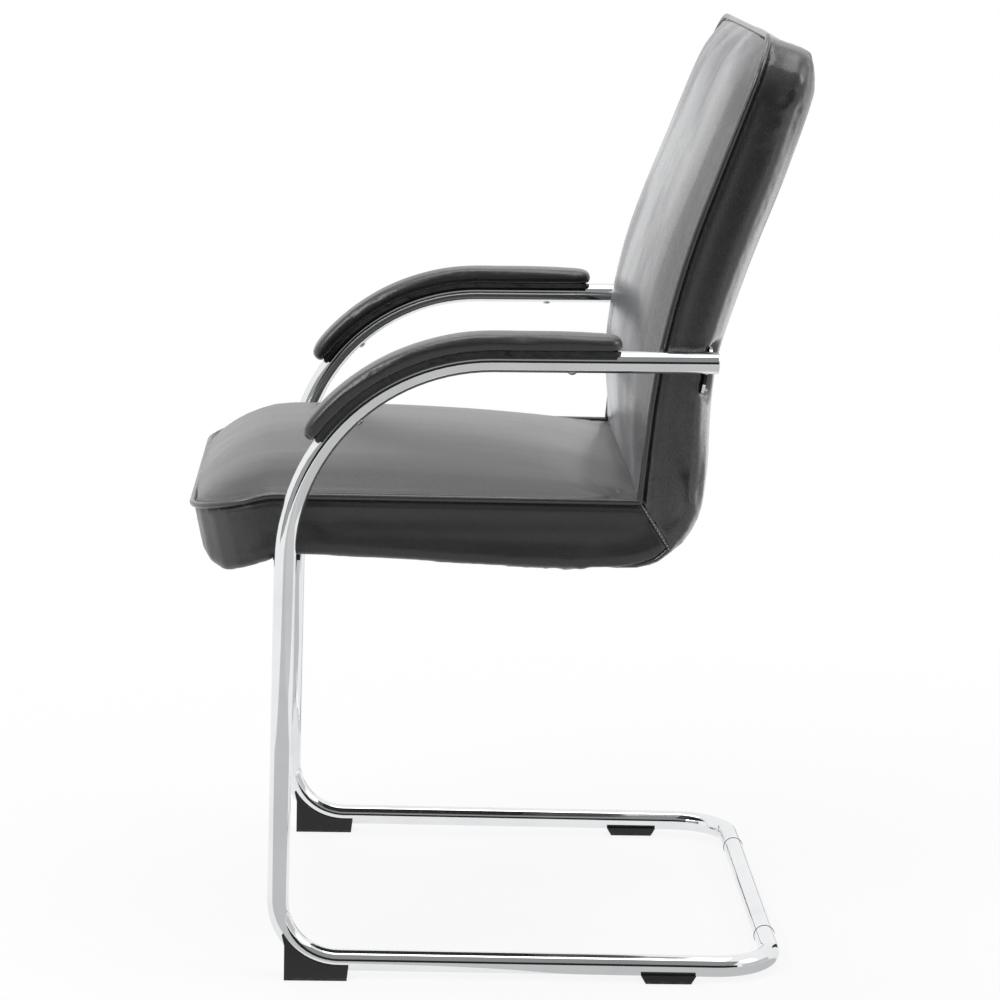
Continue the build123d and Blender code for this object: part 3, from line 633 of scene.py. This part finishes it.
pipings = {}
for node in ("seat_piping", "back_piping"):
    roll = merged_copy(node, f"{node}_roll", piping_leather)
    smooth(roll, piping_smooth_angle)
    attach(roll, "root")
    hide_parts(node)
    pipings[node] = roll


# Seat and back upholstery
# Foam on the plywood under sewn leather covers. The seat has one cover. The cover of the back
# has a front panel, a side panel all round and a rear panel, whose seam is pulled flat.
cover_voxel = 0.004
air_voxel = 0.0065
cover_pressure = 4.0
cover_slack = -0.03
cover_mass = 0.4
cover_frames = 20
even_rounds = 3
# Where the two solids of the back meet, their joint is smoothed away to this distance
joint_reach = 0.006
joint_rounds = 14
# A side panel's surface faces sideways by more than this share
sideways_share = 0.6
# How far from what holds it a cover can't move, and the further way to its full freedom
seam_hold = (0.006, 0.045)
neighbour_hold = (0.001, 0.014)
cushion_cap = 0.0028
# A finished vertex moves as so many points of the coarse cover do, weighted by nearness
near_points = 4
near_distance = 0.0005
# Each sewn channel: its distance from the piping, its half width and its depth
panel_channels = [(0.0, 0.0030, 0.0014), (0.0085, 0.0030, 0.0006)]
boxing_channels = [(0.0, 0.0042, 0.0034)]


def surface_tree(pieces):
    """One search tree of the surfaces of some pieces."""
    shape = bmesh.new()
    for piece in pieces:
        shape.from_mesh(piece.data)
    tree = BVHTree.FromBMesh(shape)
    shape.free()
    return tree


def eased(value, start, length):
    """A smooth step from 0 at the start to 1 after the length."""
    share = min(1.0, max(0.0, (value - start) / length))
    return share * share * (3 - 2 * share)


def remeshed_copy(members, name, material, voxel):
    """A copy of some CAD solids as one shape, with an even mesh for a cover."""
    copies = [merged_copy(member, name, material) for member in members]
    piece = copies[0]
    alone(piece)
    for other in copies[1:]:
        other.select_set(True)
    if len(copies) > 1:
        bpy.ops.object.join()
    remesh = piece.modifiers.new("even", "REMESH")
    remesh.mode = "VOXEL"
    remesh.voxel_size = voxel
    remesh.use_smooth_shade = True
    bpy.ops.object.modifier_apply(modifier=remesh.name)
    return piece


def air_moves(piece, slack):
    """Fills a cover with air. Gives a tree of its points, and how each one moved."""
    rest = [vertex.co.copy() for vertex in piece.data.vertices]
    cloth = piece.modifiers.new("cover", "CLOTH")
    cloth.settings.quality = 4
    cloth.settings.mass = cover_mass
    cloth.settings.use_pressure = True
    cloth.settings.uniform_pressure_force = cover_pressure
    cloth.settings.shrink_min = slack
    cloth.settings.effector_weights.gravity = 0
    cloth.point_cache.frame_start = 1
    cloth.point_cache.frame_end = cover_frames
    for step in range(1, cover_frames + 1):
        bpy.context.scene.frame_set(step)
    alone(piece)
    bpy.ops.object.modifier_apply(modifier=cloth.name)
    bpy.context.scene.frame_set(1)
    moves = [vertex.co - place for vertex, place in zip(piece.data.vertices, rest)]
    tree = KDTree(len(rest))
    for index, place in enumerate(rest):
        tree.insert(place, index)
    tree.balance()
    bpy.data.objects.remove(piece)
    return tree, moves


def puff(piece, air, cap, holders):
    """Moves a cover as the air did, less and less towards what holds it, and never past the cap."""
    tree, moves = air
    for vertex in piece.data.vertices:
        freedom = 1.0
        for holder, (hold, reach) in holders:
            freedom *= eased(holder.find_nearest(vertex.co)[3], hold, reach)
        if freedom == 0.0:
            continue
        move = Vector()
        total = 0.0
        for _, index, distance in tree.find_n(vertex.co, near_points):
            weight = 1 / (distance + near_distance)
            move += moves[index] * weight
            total += weight
        move /= total
        if move.length > cap:
            move = move.normalized() * cap
        vertex.co += move * freedom


def smoothed_where(piece, chosen, rounds):
    """Smooths the chosen vertices of a piece."""
    group = piece.vertex_groups.new(name="smoothed")
    group.add(chosen, 1.0, "REPLACE")
    smoothing = piece.modifiers.new("smoothed", "SMOOTH")
    smoothing.factor = 0.5
    smoothing.iterations = rounds
    smoothing.vertex_group = group.name
    alone(piece)
    bpy.ops.object.modifier_apply(modifier=smoothing.name)
    piece.vertex_groups.clear()


def pressed(piece, seam):
    """Presses the sewn channels beside the piping into a cover."""
    normals = [vertex.normal.copy() for vertex in piece.data.vertices]
    for vertex, normal in zip(piece.data.vertices, normals):
        distance = seam.find_nearest(vertex.co)[3]
        channels = boxing_channels if abs(normal.x) > sideways_share else panel_channels
        depth = sum(deep * exp(-(((distance - away) / half) ** 2)) for away, half, deep in channels)
        vertex.co -= normal * depth


# Each cover: its name, the solids that it is shaped from, its leather and its slot
covers = [
    ("seat_cushion_leather", ["seat_cushion"], seat_leather, "seat_leather"),
    ("back_cushion_leather", ["back_cushion", "rear_cover"], back_leather, "back_leather"),
]
seam_tree = surface_tree(list(pipings.values()))
cushions = {}
for name, members, material, _ in covers:
    cushion = remeshed_copy(members, name, material, cover_voxel)
    around = [nodes[node] for node in nodes if node not in members and not node.endswith("piping")]
    if len(members) > 1:
        trees = [surface_tree([nodes[member]]) for member in members]
        joint = [
            vertex.index
            for vertex in cushion.data.vertices
            if all(tree.find_nearest(vertex.co)[3] < joint_reach for tree in trees)
        ]
        smoothed_where(cushion, joint, joint_rounds)
    smoothed_where(cushion, list(range(len(cushion.data.vertices))), even_rounds)
    air = air_moves(remeshed_copy(members, "fitting", material, air_voxel), cover_slack)
    holders = [(seam_tree, seam_hold), (surface_tree(around), neighbour_hold)]
    puff(cushion, air, cushion_cap, holders)
    pressed(cushion, seam_tree)
    cushions[name] = cushion

# The seat's leather gathers in small folds that fan out from its two rear corners.
fold_corners = [(-0.243, 0.126, 0.500), (0.243, 0.126, 0.500)]
fold_count = 15.0
fold_reach = 0.034
fold_depth = 0.0011
fold_core = 0.004
fold_rise = 0.012
seat_cover = cushions["seat_cushion_leather"]
seat_normals = [vertex.normal.copy() for vertex in seat_cover.data.vertices]
for corner in fold_corners:
    for vertex, normal in zip(seat_cover.data.vertices, seat_normals):
        away = vertex.co - Vector(corner)
        if normal.z > 0.5 and away.length < 4 * fold_reach:
            turn = atan2(-away.y, abs(away.x) + fold_core)
            fading = exp(-((away.length / fold_reach) ** 2))
            strength = fading * eased(away.length, fold_core, fold_rise)
            vertex.co += normal * fold_depth * strength * sin(fold_count * turn)

# The rear panel thins out where it is stapled under the seat.
lip_top = 0.45
lip_end = 0.0862
lip_length = 0.085
lip_rise = 0.006
lip_taper = 0.04
for vertex in cushions["back_cushion_leather"].data.vertices:
    if vertex.co.z < lip_top:
        thinned = 1 - eased(vertex.co.y, lip_end, lip_length)
        vertex.co.z += lip_rise * thinned
        vertex.co.x *= 1 - lip_taper * thinned

for name, members, _, slot in covers:
    alone(cushions[name])
    bpy.ops.object.shade_smooth()
    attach(cushions[name], "root")
    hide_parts(*members)


# Mitre seams
# The side panels of the seat and of the back meet at a mitre below each rear corner of the
# seat. A narrow fold of leather closes it, and light waxed thread shows in short stitches.
mitre_start = (0.1418, 0.4955)
mitre_heading = (0.547, -0.837)
mitre_length = 0.061
mitre_fold_radius = 0.0019
mitre_fold_sink = 0.0013
mitre_fold_steps = 8
# The seam's depth is read at two points beside it, from far out, or else is the panel's place
probe_distance = 0.4
probe_spread = 0.005
panel_place = 0.2585
stitch_length = 0.0027
stitch_thickness = 0.0007
stitch_pitch = 0.0037
stitch_start_share = 0.7
stitch_lift = 0.0007

thread_dark_colour = (0.26, 0.25, 0.23, 1.0)
thread_pale_colour = (0.52, 0.50, 0.46, 1.0)
thread_twist_depth = 0.0001

thread = Finish("seam_thread", thread_pale_colour, 0.6)
twist = thread.noise(900.0, 2.0)
thread.feed("Base Color", thread.blend(twist, thread_dark_colour, thread_pale_colour))
thread.feed("Normal", thread.relief(twist, thread_twist_depth))
cover_tree = surface_tree(list(cushions.values()))


def mitre_point(hand, travel):
    """A point of the seam on the side panel's surface, between the panel's two edges."""
    y = mitre_start[0] + mitre_heading[0] * travel
    z = mitre_start[1] + mitre_heading[1] * travel
    depths = []
    for aside in (-probe_spread, probe_spread):
        beside_y = y - mitre_heading[1] * aside
        beside_z = z + mitre_heading[0] * aside
        begin = Vector((hand * probe_distance, beside_y, beside_z))
        found = cover_tree.ray_cast(begin, Vector((-hand, 0.0, 0.0)))[0]
        if found:
            depths.append(abs(found.x))
    depth = sum(depths) / len(depths) if depths else panel_place
    return Vector((hand * depth, y, z))


for hand, side in ((-1, "right"), (1, "left")):
    line = bpy.data.curves.new(f"mitre_fold_{side}", "CURVE")
    line.dimensions = "3D"
    line.bevel_depth = mitre_fold_radius
    line.bevel_resolution = 3
    line.use_fill_caps = True
    spline = line.splines.new("NURBS")
    spline.points.add(mitre_fold_steps)
    inside = Vector((hand * -mitre_fold_sink, 0.0, 0.0))
    for step, point in enumerate(spline.points):
        travel = mitre_length * step / mitre_fold_steps
        from_end = min(step, mitre_fold_steps - step)
        point.co = (*(mitre_point(hand, travel) + inside), 1.0)
        point.radius = 0.5 + 0.5 * min(1.0, from_end)
    spline.order_u = 3
    spline.use_endpoint_u = True
    fold = bpy.data.objects.new(f"mitre_fold_{side}", line)
    bpy.context.scene.collection.objects.link(fold)
    alone(fold)
    bpy.ops.object.convert(target="MESH")
    fold.data.materials.append(piping_leather)
    bpy.ops.object.shade_smooth()
    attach(fold, "root")

    stitches = []
    for index in range(int(mitre_length / stitch_pitch)):
        centre = mitre_point(hand, stitch_pitch * (index + stitch_start_share))
        bpy.ops.object.select_all(action="DESELECT")
        bpy.ops.mesh.primitive_uv_sphere_add(segments=8, ring_count=6, radius=0.5)
        stitch = bpy.context.object
        stitch.scale = (stitch_thickness, stitch_thickness, stitch_length)
        stitch.rotation_euler = (-atan2(mitre_heading[0], mitre_heading[1]), 0.0, 0.0)
        stitch.location = centre + Vector((hand * stitch_lift, 0.0, 0.0))
        stitches.append(stitch)
    for stitch in stitches:
        stitch.select_set(True)
    bpy.context.view_layer.objects.active = stitches[0]
    bpy.ops.object.join()
    seam = bpy.context.object
    seam.name = f"mitre_stitches_{side}"
    seam.data.name = seam.name
    bpy.ops.object.transform_apply(location=True, rotation=True, scale=True)
    bpy.ops.object.shade_smooth()
    seam.data.materials.append(thread.material)
    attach(seam, "root")


# Arm pads
# Shaped foam under the same leather, screwed to the base strips from below.
pad_voxel = 0.003
pad_cap = 0.0015
pad_slack = -0.01
pad_hold = (0.001, 0.006)

for hand in ("left", "right"):
    node = f"arm_pad_cushion_{hand}"
    pad = remeshed_copy([node], f"arm_pad_{hand}_leather", pad_leather, pad_voxel)
    air = air_moves(remeshed_copy([node], "fitting", pad_leather, pad_voxel), pad_slack)
    base = surface_tree([nodes[f"arm_pad_base_{hand}"], nodes[f"frame_tube_{hand}"]])
    puff(pad, air, pad_cap, [(base, pad_hold)])
    finer = pad.modifiers.new("finer", "SUBSURF")
    finer.levels = 1
    finer.render_levels = 1
    alone(pad)
    bpy.ops.object.modifier_apply(modifier=finer.name)
    bpy.ops.object.shade_smooth()
    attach(pad, "root")
    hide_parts(node)


# Cover under the seat
# A thin black non-woven cloth that hides the inside of the seat. It is stapled to the plywood
# round its edge, and sags a little between the staples and in the middle.
cloth_sides = (0.492, 0.318)
cloth_middle = (0.0, -0.0863, 0.4392)
cloth_corner = 0.020
cloth_cells = (150, 96)
cloth_sag = 0.0025
cloth_sag_reach = 0.12
staple_pitch = 0.045
pucker_depth = 0.0006
pucker_reach = 0.02
fibre_depth = 0.0002
fibre_dark_colour = (0.010, 0.010, 0.010, 1.0)
fibre_pale_colour = (0.03, 0.03, 0.03, 1.0)

dust_cloth = Finish("underseat_fabric", fibre_dark_colour, 0.9)
fibres = dust_cloth.cells(700.0)
dust_cloth.feed("Base Color", dust_cloth.blend(fibres, fibre_dark_colour, fibre_pale_colour))
dust_cloth.feed("Normal", dust_cloth.relief(fibres, fibre_depth))
bpy.ops.object.select_all(action="DESELECT")
bpy.ops.mesh.primitive_grid_add(
    x_subdivisions=cloth_cells[0],
    y_subdivisions=cloth_cells[1],
    size=1.0,
)
dust_cover = bpy.context.object
dust_cover.name = "underseat_cloth"
dust_cover.data.name = dust_cover.name
bpy.ops.object.mode_set(mode="EDIT")
bpy.ops.mesh.select_all(action="SELECT")
bpy.ops.transform.resize(value=(cloth_sides[0], cloth_sides[1], 1.0))
bpy.ops.mesh.flip_normals()
bpy.ops.object.mode_set(mode="OBJECT")
for vertex in dust_cover.data.vertices:
    x, y = vertex.co.x, vertex.co.y
    beyond = Vector((abs(x) - cloth_sides[0] / 2, abs(y) - cloth_sides[1] / 2, 0.0))
    corner = beyond + Vector((cloth_corner, cloth_corner, 0.0))
    if corner.x > 0 and corner.y > 0 and corner.length > cloth_corner:
        pulled = corner.normalized() * cloth_corner - corner
        x += pulled.x * (1 if x > 0 else -1)
        y += pulled.y * (1 if y > 0 else -1)
    inward = min(-beyond.x, -beyond.y)
    middle = eased(inward, 0.0, cloth_sag_reach)
    ripple = cos(2 * pi * (x + y) / staple_pitch) - 1
    puckers = pucker_depth * exp(-inward / pucker_reach) * ripple
    vertex.co = Vector((x, y, -cloth_sag * middle + puckers)) + Vector(cloth_middle)
dust_cover.data.materials.append(dust_cloth.material)
alone(dust_cover)
bpy.ops.object.shade_smooth()
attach(dust_cover, "root")
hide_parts("underseat_cover")
